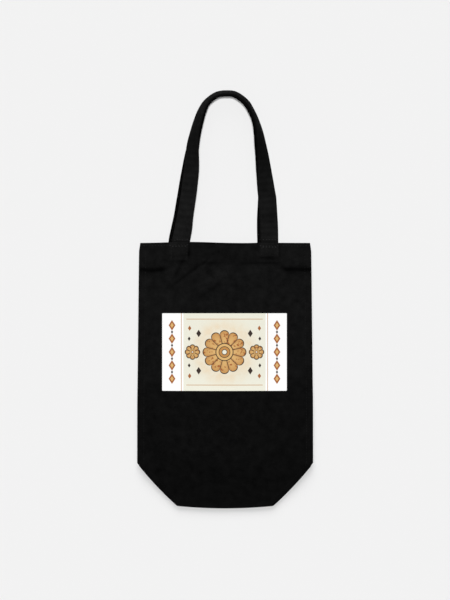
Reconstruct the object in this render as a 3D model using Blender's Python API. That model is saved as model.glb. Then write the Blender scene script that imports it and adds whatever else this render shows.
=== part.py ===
"""A cloth gift bag for one bottle, lying flat on its back with its base folded up underneath.

X runs across the bag, +Y from its bottom edge to its handles and +Z up out of its front.
All sizes are in metres. The floor is z = 0, and the middle of the whole outline is x = y = 0.
"""

from collections import namedtuple

import bmesh
import bpy
import numpy as np

# Driving dimensions of the bag as it lies
BAG_HEIGHT = 0.280
BAG_WIDTH = 0.185
BASE_DEPTH = 0.086
CLOTH = 0.001
FOLD_RADIUS = 0.0028
CROWN = 0.0085
CROWN_EASE = 0.15
EASE_START = 0.3
BOTTOM_BOW = 0.0024
CORNER_BOW = 0.0012
BOW_POWER = 8
CORNER_LEAN = 0.0028

# The mouth's edge dips on both sides of one high place, and the front's dips more in the middle
RIM_DIP = 0.0012
RIM_PEAK = -0.195
RIM_REACH = 0.162
FRONT_DIP = 0.0008
FRONT_DIP_MIDDLE = -0.03
FRONT_DIP_REACH = 0.17
FRONT_DIP_POWER = 4

# The folded base: the room inside it and the pocket between it and the back
TUCK_ROOM = 0.0006
TUCK_POCKET = 0.0005
SETTLE_START = 0.004
SETTLE_LENGTH = 0.045

# Hem and side seams, inside the mouth and the side folds
SEAM_GAP = 0.0003
HEM_DEPTH = 0.027
HEM_CLOTH = 0.001
HEM_DROP = 0.0006
ALLOWANCE_WIDTH = 0.006
ALLOWANCE_THICKNESS = 0.0012
ALLOWANCE_INSET = 0.0016

# Handles
HANDLE_WIDTH = 0.019
HANDLE_THICKNESS = 0.0018
HANDLE_SPAN = 0.1118
HANDLE_RISE = 0.1606
HANDLE_TUCK = 0.020
HANDLE_GAP = 0.0005
HANDLE_SHIFT = 0.0045
HANDLE_LANDS = 0.25
FLOOR_GAP = 0.0001

# Printed panel on the front
PRINT_WIDTH = 0.132
PRINT_HEIGHT = 0.082
PRINT_DROP = 0.0745
PRINT_THICKNESS = 0.0004

# Mesh fineness
CORNER_CELLS = 4
BASE_CELLS = 10
UPPER_CELLS = 19
SIDE_CELLS = 6
CREASE_CELLS = 2
TUCK_CELLS = 3
HEM_ROWS = 3
HANDLE_CELLS = 64
HANDLE_ACROSS = 2
PRINT_CELLS = (13, 8)
CURVE_STEPS = 24

# Cloth turned in at a boxed corner's tip: the inner face keeps this many cloths from the outer
TIP_INSET = 1.2

# Width of the bag over its height: each row is a share of the height and a share of the width
WidthRow = namedtuple("WidthRow", "up width")
WIDTHS = (
    WidthRow(0.00, 1.000),
    WidthRow(0.40, 0.999),
    WidthRow(0.75, 0.987),
    WidthRow(0.90, 0.982),
    WidthRow(0.97, 0.979),
    WidthRow(1.00, 0.966),
)

# Soft dents and folds of the front: place, half-length and half-width as shares of the bag's
# height, depth as a share of the crown (below zero is a ridge), heading in degrees from +X
Dent = namedtuple("Dent", "across up length width depth heading")
DENTS = (
    Dent(-0.31, 0.891, 0.085, 0.026, -0.09, 45.0),
    Dent(-0.06, 0.860, 0.090, 0.028, -0.09, 40.0),
    Dent(-0.80, 0.900, 0.070, 0.024, 0.10, 2.0),
    Dent(0.80, 0.900, 0.065, 0.024, 0.10, -4.0),
    Dent(0.00, 0.236, 0.180, 0.040, -0.06, 3.0),
    Dent(-0.61, 0.290, 0.110, 0.028, 0.05, -24.0),
    Dent(0.67, 0.265, 0.110, 0.028, 0.05, 30.0),
)

# The handle's outer edge, left end to right end: share of the half span, share of the rise, the
# turn of the strap about that edge, from lying flat to standing on it, and how far the front
# strap lies in from the edge as a share of the shift (below zero, the back one does)
HandleRow = namedtuple("HandleRow", "across rise turn lead")
HANDLE_ROWS = (
    HandleRow(-1.068, 0.000, 0.0, 0.81),
    HandleRow(-1.029, 0.096, 12.0, 0.96),
    HandleRow(-0.991, 0.175, 24.0, 1.06),
    HandleRow(-0.957, 0.253, 28.0, 1.19),
    HandleRow(-0.919, 0.332, 29.0, 1.16),
    HandleRow(-0.882, 0.411, 30.0, 1.04),
    HandleRow(-0.843, 0.490, 34.0, 0.98),
    HandleRow(-0.803, 0.568, 40.0, 0.73),
    HandleRow(-0.750, 0.647, 49.0, 0.40),
    HandleRow(-0.676, 0.726, 59.0, 0.13),
    HandleRow(-0.601, 0.804, 66.0, 0.00),
    HandleRow(-0.524, 0.870, 71.0, 0.00),
    HandleRow(-0.400, 0.935, 76.5, 0.00),
    HandleRow(-0.187, 0.988, 77.0, 0.00),
    HandleRow(0.042, 1.000, 77.0, 0.00),
    HandleRow(0.236, 0.988, 76.0, 0.00),
    HandleRow(0.443, 0.935, 75.0, 0.00),
    HandleRow(0.560, 0.870, 76.5, 0.00),
    HandleRow(0.647, 0.804, 75.0, 0.00),
    HandleRow(0.726, 0.726, 67.0, 0.00),
    HandleRow(0.782, 0.647, 58.0, 0.00),
    HandleRow(0.832, 0.568, 50.0, 0.00),
    HandleRow(0.873, 0.490, 41.0, 0.00),
    HandleRow(0.918, 0.411, 29.0, 0.09),
    HandleRow(0.955, 0.332, 14.0, 0.10),
    HandleRow(0.973, 0.253, 7.0, -0.22),
    HandleRow(0.986, 0.175, 5.0, -0.53),
    HandleRow(0.996, 0.100, 2.0, -0.71),
    HandleRow(1.000, 0.000, 0.0, -0.71),
)

# The fold lines lie a fold's radius inside the outline
FOLD_WIDTH = BAG_WIDTH - 2.0 * FOLD_RADIUS
FOLD_BASE = FOLD_WIDTH - BASE_DEPTH
FOLD_HEIGHT = BAG_HEIGHT - FOLD_RADIUS - BOTTOM_BOW
TUCK_TOP = 2.0 * CLOTH + TUCK_ROOM
BACK_LIFT = TUCK_TOP + TUCK_POCKET
Y_FOLD = FOLD_RADIUS + BOTTOM_BOW - 0.5 * (BAG_HEIGHT + HANDLE_RISE)
Y_RIM = Y_FOLD + FOLD_HEIGHT


def smooth_step(value):
    """Rises smoothly from 0 to 1 as the value goes from 0 to 1, and stays level outside."""
    share = np.clip(value, 0.0, 1.0)
    return share * share * (3.0 - 2.0 * share)


def width_share(up):
    """Share of the full width at a height above the bottom fold."""
    table = np.array(WIDTHS)
    return np.interp(up / FOLD_HEIGHT, table[:, 0], table[:, 1])


def half_width(up):
    """Half the width between the fold lines: it grows by the height over the boxed corners."""
    corner = 0.5 * FOLD_BASE + np.minimum(up, 0.5 * BASE_DEPTH)
    return corner * width_share(up)


def back_lift(up):
    """Height of the back over the floor: on top of the folded base, then down to the floor."""
    below = smooth_step(up / (0.5 * BASE_DEPTH))
    beyond = smooth_step((up - BASE_DEPTH - SETTLE_START) / SETTLE_LENGTH)
    return BACK_LIFT * below * (1.0 - beyond)


def dents(across, up):
    """Sum of soft bell-shaped dents, each long one way and narrow the other."""
    total = np.zeros(np.broadcast(across, up).shape)
    for dent in DENTS:
        east = across - dent.across * 0.5 * FOLD_WIDTH
        north = up - dent.up * FOLD_HEIGHT
        heading = np.radians(dent.heading)
        along = (east * np.cos(heading) + north * np.sin(heading)) / (dent.length * BAG_HEIGHT)
        aside = (north * np.cos(heading) - east * np.sin(heading)) / (dent.width * BAG_HEIGHT)
        total = total + dent.depth * CROWN * np.exp(-along * along - aside * aside)
    return total


def crown(across, up):
    """Height of the front's swell: a parabola across, easing in from the bottom edge."""
    share = np.clip(np.abs(across) / half_width(up), 0.0, 1.0)
    rise = np.sin(0.5 * np.pi * np.clip(up / BASE_DEPTH, 0.0, 1.0))
    ease = 1.0 - CROWN_EASE * smooth_step(up / FOLD_HEIGHT - EASE_START)
    return (1.0 - share * share) * rise * (CROWN * ease - dents(across, up))


def front_height(across, up):
    """Height of the front's outer face over the floor."""
    return 2.0 * FOLD_RADIUS + back_lift(up) + crown(across, up)


def layer_height(layer, across, up, inset):
    """Height of one face of a layer of cloth: inset is measured in from its outer face."""
    level = np.zeros(np.broadcast(across, up).shape)
    if layer == "front":
        return level + front_height(across, up) - inset
    if layer == "back":
        return level + back_lift(up) + inset
    if layer == "tuck":
        return level + TUCK_TOP - inset
    return level + inset


def corner_bow(across, up):
    """How far a slanted corner's edge bows out each way along X and Y."""
    corner = 0.5 * BASE_DEPTH
    slant = np.clip((np.abs(across) - 0.5 * FOLD_BASE) / corner, 0.0, 1.0)
    nearness = np.clip(np.abs(across) / half_width(up), 0.0, 1.0) ** BOW_POWER
    bulge = CORNER_BOW * 4.0 * slant * (1.0 - slant) * nearness * np.sqrt(0.5)
    return np.where(up < corner, bulge, 0.0)


def rim_dip(layer, across, up):
    """How far the cloth near the mouth's edge hangs below its highest place."""
    near_rim = smooth_step((up - FOLD_HEIGHT + HEM_DEPTH) / HEM_DEPTH)
    place_along = across / BAG_WIDTH
    dip = RIM_DIP * (1.0 - np.exp(-(((place_along - RIM_PEAK) / RIM_REACH) ** 2)))
    if layer == "front":
        off_middle = (place_along - FRONT_DIP_MIDDLE) / FRONT_DIP_REACH
        dip = dip + FRONT_DIP * np.exp(-(off_middle ** FRONT_DIP_POWER))
    return near_rim * dip


def place(layer, across, up, inset):
    """Points of a layer, from places on the fold plan: the outline's slight bows are added."""
    corner = 0.5 * BASE_DEPTH
    x = across * width_share(up)
    y = np.array(np.broadcast_to(up, x.shape), dtype=float)
    if layer in ("front", "base"):
        low = np.clip(1.0 - up / corner, 0.0, 1.0)
        middle = np.clip(1.0 - (across / (0.5 * FOLD_BASE)) ** 2, 0.0, 1.0)
        bulge = corner_bow(across, up)
        lean = CORNER_LEAN * low * np.abs(across) / half_width(up)
        x = x + np.sign(across) * (bulge + lean)
        y = y - BOTTOM_BOW * low * middle - bulge
    if layer in ("front", "back"):
        y = y - rim_dip(layer, across, up)
    z = layer_height(layer, across, up, inset)
    return np.stack([x, Y_FOLD + y, z], axis=-1)


def fold_rows(first, last, outward, bulge, cells):
    """Rows of a half-round fold from one edge to another, bulging outward."""
    turn = np.pi * np.arange(1, cells) / cells
    share = (0.5 - 0.5 * np.cos(turn))[:, None, None]
    reach = (bulge * np.sin(turn))[:, None, None]
    return first + (last - first) * share + outward * reach


class Builder:
    """Collects points and faces, and hands out the numbers of the points."""

    def __init__(self):
        self.points = []
        self.faces = []
        self.count = 0

    def add(self, points):
        """Adds an array of points and gives their numbers in the same shape."""
        shape = points.shape[:-1]
        flat = points.reshape(-1, 3)
        numbers = np.arange(self.count, self.count + len(flat)).reshape(shape)
        self.points.append(flat)
        self.count += len(flat)
        return numbers

    def quads(self, grid):
        """Faces of a grid of point numbers; a cell with one corner missing is a triangle."""
        for low, high in zip(grid[:-1], grid[1:]):
            for corners in zip(low[:-1], low[1:], high[1:], high[:-1]):
                face = [int(number) for number in corners if number >= 0]
                if len(face) > 2:
                    self.faces.append(face)

    def make(self, name):
        """Makes the object, with its faces pointing out."""
        mesh = bpy.data.meshes.new(name)
        mesh.from_pydata(np.concatenate(self.points).tolist(), [], self.faces)
        shape = bmesh.new()
        shape.from_mesh(mesh)
        bmesh.ops.triangulate(shape, faces=shape.faces[:])
        bmesh.ops.recalc_face_normals(shape, faces=shape.faces[:])
        shape.to_mesh(mesh)
        shape.free()
        body = bpy.data.objects.new(name, mesh)
        bpy.context.collection.objects.link(body)
        return body


def plan_lines():
    """Column and row positions of the fold plan, which meet on the boxed corners' fold lines."""
    corner = np.linspace(0.0, 0.5 * BASE_DEPTH, CORNER_CELLS + 1)
    middle = np.linspace(-0.5 * FOLD_BASE, 0.5 * FOLD_BASE, BASE_CELLS + 1)
    columns = np.concatenate([middle[0] - corner[:0:-1], middle, middle[-1] + corner[1:]])
    upper = np.linspace(BASE_DEPTH, FOLD_HEIGHT, UPPER_CELLS + 1)
    rows = np.concatenate([corner, 0.5 * BASE_DEPTH + corner[1:], upper[1:]])
    return columns, rows


def layer_grid(builder, layer, inset):
    """Adds a layer's points and faces; a number below zero is a place outside the layer."""
    columns, rows = plan_lines()
    across, up = np.meshgrid(columns, rows)
    column, row = np.meshgrid(np.arange(len(columns)), np.arange(len(rows)))
    edge = np.minimum(column, len(columns) - 1 - column)
    if layer == "front":
        inside = edge >= CORNER_CELLS - row
    elif layer == "base":
        inside = (edge >= np.abs(CORNER_CELLS - row)) & (row <= 2 * CORNER_CELLS)
    elif layer == "tuck":
        inside = (edge >= row - CORNER_CELLS) & (row >= CORNER_CELLS) & (row <= 2 * CORNER_CELLS)
    else:
        inside = row >= CORNER_CELLS
    points = place(layer, across, up, inset)
    tips = (row == CORNER_CELLS) & (edge == 0)
    points[..., 0] -= np.where(tips, np.sign(across) * TIP_INSET * inset, 0.0)
    numbers = np.full(inside.shape, -1)
    numbers[inside] = builder.add(points[inside])
    builder.quads(numbers)
    return numbers, points


def lower_edge():
    """Row and column numbers along the bottom: left tip, left corner, right corner, right tip."""
    last = BASE_CELLS + 2 * CORNER_CELLS
    columns = np.arange(last + 1)
    rows = np.maximum(CORNER_CELLS - np.minimum(columns, last - columns), 0)
    return rows, columns


def edge_normals(sign):
    """Directions out of the lower (sign -1) or upper (sign 1) edge, halved at its corners."""
    last = BASE_CELLS + 2 * CORNER_CELLS
    slant, right_angle = 0.25 * np.pi, 0.5 * np.pi
    lean = np.zeros(last + 1)
    lean[:CORNER_CELLS] = slant
    lean[CORNER_CELLS] = 0.5 * slant
    lean[0] = 0.5 * (slant + right_angle)
    turn = right_angle + lean - lean[::-1]
    return np.stack([np.cos(turn), sign * np.sin(turn), np.zeros_like(turn)], axis=-1)


def skin(builder, inset):
    """One face of the bag's cloth, folded: gives the loop of points round the mouth."""
    layers = {name: layer_grid(builder, name, inset) for name in ("front", "base", "tuck", "back")}
    last = BASE_CELLS + 2 * CORNER_CELLS
    tip = CORNER_CELLS

    def edge(layer, rows, columns):
        numbers, points = layers[layer]
        return numbers[rows, columns], points[rows, columns]

    # Crease between the tucked-in lower back and the back
    every = np.arange(last + 1)
    tuck, tuck_at = edge("tuck", tip, every)
    back, back_at = edge("back", tip, every)
    toward = np.array([0.0, -1.0, 0.0])
    rows = fold_rows(tuck_at, back_at, toward, 0.5 * TUCK_POCKET + inset, CREASE_CELLS)
    crease = np.concatenate([tuck[None], builder.add(rows), back[None]])
    builder.quads(crease)

    # Small fold between the base and the tucked-in lower back
    low_rows, columns = lower_edge()
    high_rows = 2 * CORNER_CELLS - low_rows
    base, base_at = edge("base", high_rows, columns)
    tuck, tuck_at = edge("tuck", high_rows, columns)
    rows = fold_rows(base_at, tuck_at, edge_normals(1.0), 0.5 * TUCK_TOP - inset, TUCK_CELLS)
    small = np.concatenate([base[None], builder.add(rows), tuck[None]])
    builder.quads(small)

    # Side folds between the front and the back
    sides = []
    for column, sign in ((0, -1.0), (last, 1.0)):
        high = np.arange(tip, len(layers["front"][0]))
        front, front_at = edge("front", high, column)
        back, back_at = edge("back", high, column)
        toward = np.array([sign, 0.0, 0.0])
        rows = fold_rows(front_at, back_at, toward, FOLD_RADIUS - inset, SIDE_CELLS)
        side = np.concatenate([front[None], builder.add(rows), back[None]])
        builder.quads(side)
        sides.append(side)

    # Tall fold along the bottom edge and the slanted corners, which splits in two at the tips
    front, front_at = edge("front", low_rows, columns)
    base, base_at = edge("base", low_rows, columns)
    cells = SIDE_CELLS + CREASE_CELLS + TUCK_CELLS
    rows = fold_rows(front_at, base_at, edge_normals(-1.0), FOLD_RADIUS - inset, cells)
    inner = builder.add(rows[:, 1:-1])
    ends = []
    for side, column in ((sides[0], 0), (sides[1], last)):
        ends.append(np.concatenate([side[1:, 0], crease[::-1, column][1:], small[::-1, column][1:-1]]))
    inner = np.concatenate([ends[0][:, None], inner, ends[1][:, None]], axis=1)
    builder.quads(np.concatenate([front[None], inner, base[None]]))

    front = layers["front"][0][-1]
    back = layers["back"][0][-1]
    return np.concatenate([front, sides[1][1:-1, -1], back[::-1], sides[0][-2:0:-1, -1]])


def close_loops(builder, first, second):
    """Faces between two loops of points with the same count."""
    pair = np.stack([first, second])
    builder.quads(np.concatenate([pair, pair[:, :1]], axis=1))


def make_body():
    """The bag's cloth: its outer face, its inner face and the edge at the mouth."""
    builder = Builder()
    outer = skin(builder, 0.0)
    inner = skin(builder, CLOTH)
    close_loops(builder, outer, inner)
    return builder.make("body")


def mouth_loops(ups, inset):
    """Loops round the inside of the bag at some heights, inset from its outer face."""
    columns, _ = plan_lines()
    across, up = np.meshgrid(columns, ups)
    front = place("front", across, up, inset)
    back = place("back", across, up, inset)
    right = np.array([1.0, 0.0, 0.0])
    bulge = FOLD_RADIUS - inset
    east = fold_rows(front[:, -1], back[:, -1], right, bulge, SIDE_CELLS)
    west = fold_rows(back[:, 0], front[:, 0], -right, bulge, SIDE_CELLS)
    parts = [front, east.transpose(1, 0, 2), back[:, ::-1], west.transpose(1, 0, 2)]
    return np.concatenate(parts, axis=1)


def make_hem():
    """The inner fold of the hem: a band round the inside of the mouth."""
    builder = Builder()
    ups = np.linspace(FOLD_HEIGHT - HEM_DEPTH, FOLD_HEIGHT - HEM_DROP, HEM_ROWS + 1)
    outer = builder.add(mouth_loops(ups, CLOTH + SEAM_GAP))
    inner = builder.add(mouth_loops(ups, CLOTH + SEAM_GAP + HEM_CLOTH))
    for loops in (outer, inner):
        builder.quads(np.concatenate([loops, loops[:, :1]], axis=1))
    close_loops(builder, outer[0], inner[0])
    close_loops(builder, outer[-1], inner[-1])
    return builder.make("hem_band")


def rim_of(grid):
    """The loop of numbers round a grid's rim."""
    return np.concatenate([grid[0, :-1], grid[:-1, -1], grid[-1, :0:-1], grid[:0:-1, 0]])


def make_slab(name, top, bottom):
    """A closed thin slab between two grids of points."""
    builder = Builder()
    upper = builder.add(top)
    lower = builder.add(bottom)
    builder.quads(upper)
    builder.quads(lower)
    close_loops(builder, rim_of(upper), rim_of(lower))
    return builder.make(name)


def make_seam(name, sign):
    """A seam allowance: a strip laid on the back's inner face beside a side fold."""
    _, rows = plan_lines()
    ups = rows[(rows > 0.5 * BASE_DEPTH + CLOTH) & (rows < FOLD_HEIGHT - HEM_DEPTH)]
    edge = 0.5 * FOLD_WIDTH - ALLOWANCE_INSET
    across, up = np.meshgrid(sign * np.array([edge - ALLOWANCE_WIDTH, edge]), ups)
    low = CLOTH + SEAM_GAP
    bottom = place("back", across, up, low)
    top = place("back", across, up, low + ALLOWANCE_THICKNESS)
    return make_slab(name, top, bottom)


def smooth_curve(points, count):
    """Evenly spaced points on a Catmull-Rom curve through the given points."""
    ends = np.concatenate([2.0 * points[:1] - points[1:2], points, 2.0 * points[-1:] - points[-2:-1]])
    share = np.linspace(0.0, 1.0, CURVE_STEPS, endpoint=False)[None, :, None]
    before, start, end, after = (ends[k:len(ends) - 3 + k, None] for k in range(4))
    curve = start + 0.5 * share * (
        end - before
        + share * (2.0 * before - 5.0 * start + 4.0 * end - after
                   + share * (3.0 * (start - end) + after - before))
    )
    curve = np.concatenate([curve.reshape(-1, points.shape[1]), points[-1:]])
    step = np.linalg.norm(np.diff(curve[:, :2], axis=0), axis=1)
    along = np.concatenate([[0.0], np.cumsum(step)])
    even = np.linspace(0.0, along[-1], count)
    return np.stack([np.interp(even, along, column) for column in curve.T], axis=-1)


def mouth_level(points, back):
    """Mid-height of a strap lying against the hem on its own side, held level beyond the rim."""
    up = np.minimum(points[..., 1] - Y_FOLD, FOLD_HEIGHT)
    across = points[..., 0] / width_share(up)
    depth = CLOTH + SEAM_GAP + HEM_CLOTH + SEAM_GAP + 0.5 * HANDLE_THICKNESS
    return layer_height("back" if back else "front", across, up, depth)


def handle_frame(back):
    """Path of a handle's outer edge on the floor, with its breadth and face directions."""
    arch = np.array(HANDLE_ROWS)
    arch[:, 0] *= 0.5 * HANDLE_SPAN
    arch[:, 1] = Y_RIM + arch[:, 1] * HANDLE_RISE
    ends = arch[[0, -1]]
    ends[:, 1] -= HANDLE_TUCK
    path = smooth_curve(np.concatenate([ends[:1], arch, ends[1:]]), HANDLE_CELLS + 1)
    tangent = np.gradient(path[:, :2], axis=0)
    tangent = tangent / np.linalg.norm(tangent, axis=1, keepdims=True)
    flat = np.zeros(len(path))
    inward = np.stack([tangent[:, 1], -tangent[:, 0], flat], axis=-1)
    up = np.stack([flat, flat, flat + 1.0], axis=-1)
    turn = np.radians(path[:, 2:3])
    breadth = inward * np.cos(turn) + up * np.sin(turn)
    face = up * np.cos(turn) - inward * np.sin(turn)
    spacing = HANDLE_THICKNESS + HANDLE_GAP
    stacked = 0.0 if back else spacing
    rest = FLOOR_GAP + (0.5 * HANDLE_THICKNESS + stacked) * np.cos(turn)
    edge = np.concatenate([path[:, :2], rest], axis=1)
    edge = edge + inward * np.sin(turn) * (0.5 * HANDLE_THICKNESS + spacing - stacked)
    lead = path[:, 3:4] * HANDLE_SHIFT
    edge = edge + breadth * np.maximum(-lead if back else lead, 0.0)
    return edge, breadth, face


def make_handle(name, back):
    """A strap: a flat section carried along its path, which turns as it goes."""
    edge, breadth, face = handle_frame(back)
    across = np.linspace(0.0, HANDLE_WIDTH, HANDLE_ACROSS + 1)[None, :, None]
    middle = edge[:, None] + breadth[:, None] * across
    leaving = 1.0 - smooth_step((middle[..., 1] - Y_RIM) / (HANDLE_LANDS * HANDLE_RISE))
    middle[..., 2] += (mouth_level(middle, back) - edge[:1, 2]) * leaving
    half = 0.5 * HANDLE_THICKNESS * face[:, None]
    return make_slab(name, middle + half, middle - half)


def make_print():
    """The printed panel: a thin slab that follows the front."""
    top = FOLD_HEIGHT - PRINT_DROP
    across = np.linspace(-0.5 * PRINT_WIDTH, 0.5 * PRINT_WIDTH, PRINT_CELLS[0] + 1)
    ups = np.linspace(top - PRINT_HEIGHT, top, PRINT_CELLS[1] + 1)
    east, up = np.meshgrid(across, ups)
    east = east / width_share(up)
    bottom = place("front", east, up, -SEAM_GAP)
    upper = place("front", east, up, -SEAM_GAP - PRINT_THICKNESS)
    return make_slab("print_panel", upper, bottom)


def dress(body, name, colour, roughness):
    """Gives an object its own plain material."""
    material = bpy.data.materials.new(name)
    material.use_nodes = True
    shader = material.node_tree.nodes["Principled BSDF"]
    shader.inputs["Base Color"].default_value = (*colour, 1.0)
    shader.inputs["Roughness"].default_value = roughness
    shader.inputs["Metallic"].default_value = 0.0
    body.data.materials.append(material)


def main():
    """Clears the scene and makes every piece of the bag."""
    for old in list(bpy.data.objects):
        bpy.data.objects.remove(old, do_unlink=True)
    black_cloth = (0.007, 0.007, 0.0075)
    dress(make_body(), "body_cloth", black_cloth, 0.9)
    dress(make_hem(), "hem_cloth", black_cloth, 0.9)
    dress(make_seam("side_seam_left", -1.0), "left_seam_cloth", black_cloth, 0.9)
    dress(make_seam("side_seam_right", 1.0), "right_seam_cloth", black_cloth, 0.9)
    dress(make_handle("handle_front", False), "front_webbing", (0.009, 0.009, 0.0095), 0.8)
    dress(make_handle("handle_back", True), "back_webbing", (0.009, 0.009, 0.0095), 0.8)
    dress(make_print(), "printed_cream", (0.83, 0.80, 0.66), 0.6)


main()
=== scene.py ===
"""Looks of a dark cloth gift bag for a bottle, lying flat on its back, seen from straight above.

The axes are the frame's own: X across the bag, +Y from the bottom edge to the handles, +Z up out of
the front. Lengths are in millimetres here, and become metres when a mesh is made. Each new piece is
a surface worked out on a grid with numpy.
"""

import logging
from dataclasses import dataclass, field
from enum import Enum

import bmesh
import bpy
import numpy as np
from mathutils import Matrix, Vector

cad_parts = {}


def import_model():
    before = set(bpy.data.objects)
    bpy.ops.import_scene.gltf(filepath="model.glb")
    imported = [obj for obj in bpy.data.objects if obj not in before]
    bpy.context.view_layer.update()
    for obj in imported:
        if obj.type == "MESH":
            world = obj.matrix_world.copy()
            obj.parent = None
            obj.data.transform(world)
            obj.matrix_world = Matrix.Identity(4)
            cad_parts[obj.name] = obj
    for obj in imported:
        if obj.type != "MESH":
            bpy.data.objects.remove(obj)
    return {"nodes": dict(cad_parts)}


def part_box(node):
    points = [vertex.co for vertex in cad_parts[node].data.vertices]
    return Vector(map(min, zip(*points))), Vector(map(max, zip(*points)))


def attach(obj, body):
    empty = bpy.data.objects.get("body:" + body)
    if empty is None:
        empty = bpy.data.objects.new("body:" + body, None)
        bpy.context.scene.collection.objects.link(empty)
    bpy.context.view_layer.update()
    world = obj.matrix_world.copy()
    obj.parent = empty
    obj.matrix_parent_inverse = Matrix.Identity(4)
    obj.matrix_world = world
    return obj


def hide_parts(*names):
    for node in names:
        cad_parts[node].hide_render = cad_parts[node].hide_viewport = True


LOG = logging.getLogger("gift_bag")
Array = np.ndarray
Socket = bpy.types.NodeSocket
Colour = tuple[float, float, float, float]
MM = 0.001
BODY = "root"


class Layer(Enum):
    """The four flat layers of the folded bag, from the top down."""

    FRONT = "front"
    BACK = "back"
    TUCK = "tuck"
    BASE = "base"


class Side(Enum):
    """Which panel of the mouth a handle is sewn to."""

    FRONT = "front"
    BACK = "back"


def ramp(value: Array, start: float, length: float) -> Array:
    """Rise smoothly from 0 at a start to 1 a length on (3s^2 - 2s^3); below zero, it rises downwards."""
    share = np.clip((value - start) / length, 0.0, 1.0)
    return share * share * (3.0 - 2.0 * share)


def bell(value: Array, middle: float = 0.0, half: float = 1.0) -> Array:
    """A bell of height 1: e to the minus square of the distance to its middle over its half width."""
    return np.exp(-(((value - middle) / half) ** 2))


def packed_box(node: str) -> tuple[Array, Array]:
    """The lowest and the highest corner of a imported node."""
    low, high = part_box(node)
    return np.array(low) / MM, np.array(high) / MM


def fold_rows(first: Array, last: Array, outward: Array, bulge: float, cells: int) -> Array:
    """Rows of points of a half-round fold between two edges.

    Each point goes from the first edge to the last by half a cosine wave, and stands out by the
    bulge times the sine of the same half turn.

    Args:
        first: Points of the first edge.
        last: Points of the last edge, one for each of the first's.
        outward: Direction that the fold bulges in.
        bulge: How far it bulges.
        cells: Cells round the fold.

    Returns:
        The rows between the two edges, without them.
    """
    turn = np.pi * np.arange(1, cells) / cells
    share = (0.5 - 0.5 * np.cos(turn))[:, None, None]
    reach = (bulge * np.sin(turn))[:, None, None]
    return first + (last - first) * share + outward * reach


class Surface:
    """Collects grids of points and their faces, and makes one mesh object of them."""

    def __init__(self) -> None:
        """Start with no points and no faces."""
        self._points: list[Array] = []
        self._marks: list[Array] = []
        self._faces: dict[int, list[Array]] = {3: [], 4: []}
        self._count = 0

    def add(self, points: Array, mark: Array | float = 0.0) -> Array:
        """Add points.

        Args:
            points: Points in an array of any shape, three numbers each.
            mark: Three numbers for each point, kept as the attribute "mark".

        Returns:
            The points' numbers, in the same shape.
        """
        shape = points.shape[:-1]
        self._points.append(points.reshape(-1, 3))
        self._marks.append(np.broadcast_to(mark, points.shape).reshape(-1, 3))
        numbers = np.arange(self._count, self._count + self._points[-1].shape[0]).reshape(shape)
        self._count += numbers.size
        return numbers

    def at(self, numbers: Array) -> Array:
        """The points with these numbers."""
        return np.concatenate(self._points)[numbers]

    def faces(self, group: Array) -> None:
        """Add faces given by their point numbers, four or three in a row."""
        self._faces[group.shape[1]].append(group)

    def cells(self, grid: Array, closed: bool = False) -> None:
        """Add the faces of a grid of point numbers.

        A cell with all four corners is a quad, and one with a number below zero is a triangle.

        Args:
            grid: Point numbers in rows.
            closed: Whether each row's end meets its start.
        """
        if closed:
            grid = np.concatenate([grid, grid[:, :1]], axis=1)
        corners = [grid[:-1, :-1], grid[:-1, 1:], grid[1:, 1:], grid[1:, :-1]]
        cells = np.stack(corners, axis=-1).reshape(-1, 4)
        there = cells >= 0
        self.faces(cells[there.all(axis=1)])
        for gap in range(4):
            odd = cells[~there[:, gap] & (there.sum(axis=1) == 3)]
            self.faces(np.delete(odd, gap, axis=1))

    def build(self, name: str) -> bpy.types.Object:
        """Make the object, smooth, with its faces pointing out.

        Args:
            name: Name of the object.

        Returns:
            The new object, at the origin.
        """
        mesh = bpy.data.meshes.new(name)
        faces = [face for size in (4, 3) for face in np.concatenate(self._faces[size]).tolist()]
        mesh.from_pydata(np.concatenate(self._points) * MM, [], faces)
        mark = mesh.attributes.new("mark", "FLOAT_VECTOR", "POINT")
        mark.data.foreach_set("vector", np.concatenate(self._marks).ravel().astype(np.float32))
        shape = bmesh.new()
        shape.from_mesh(mesh)
        bmesh.ops.recalc_face_normals(shape, faces=shape.faces[:])
        shape.to_mesh(mesh)
        shape.free()
        mesh.shade_smooth()
        piece = bpy.data.objects.new(name, mesh)
        bpy.context.collection.objects.link(piece)
        return piece


class Value:
    """A number or a colour in a material's nodes, which takes the usual signs of arithmetic."""

    def __init__(self, nodes: "Nodes", socket: Socket) -> None:
        """Keep the nodes and the socket that gives the value."""
        self.nodes = nodes
        self.socket = socket

    def __add__(self, other: object) -> "Value":
        """The sum."""
        return self.nodes.math("ADD", self, other)

    def __sub__(self, other: object) -> "Value":
        """The difference."""
        return self.nodes.math("SUBTRACT", self, other)

    def __rsub__(self, other: object) -> "Value":
        """What a number is more than the value."""
        return self.nodes.math("SUBTRACT", other, self)

    def __mul__(self, other: object) -> "Value":
        """The product."""
        return self.nodes.math("MULTIPLY", self, other)

    def __truediv__(self, other: object) -> "Value":
        """The quotient."""
        return self.nodes.math("DIVIDE", self, other)

    def __pow__(self, other: object) -> "Value":
        """The power."""
        return self.nodes.math("POWER", self, other)

    def __abs__(self) -> "Value":
        """The size without the sign."""
        return self.nodes.math("ABSOLUTE", self)


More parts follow.
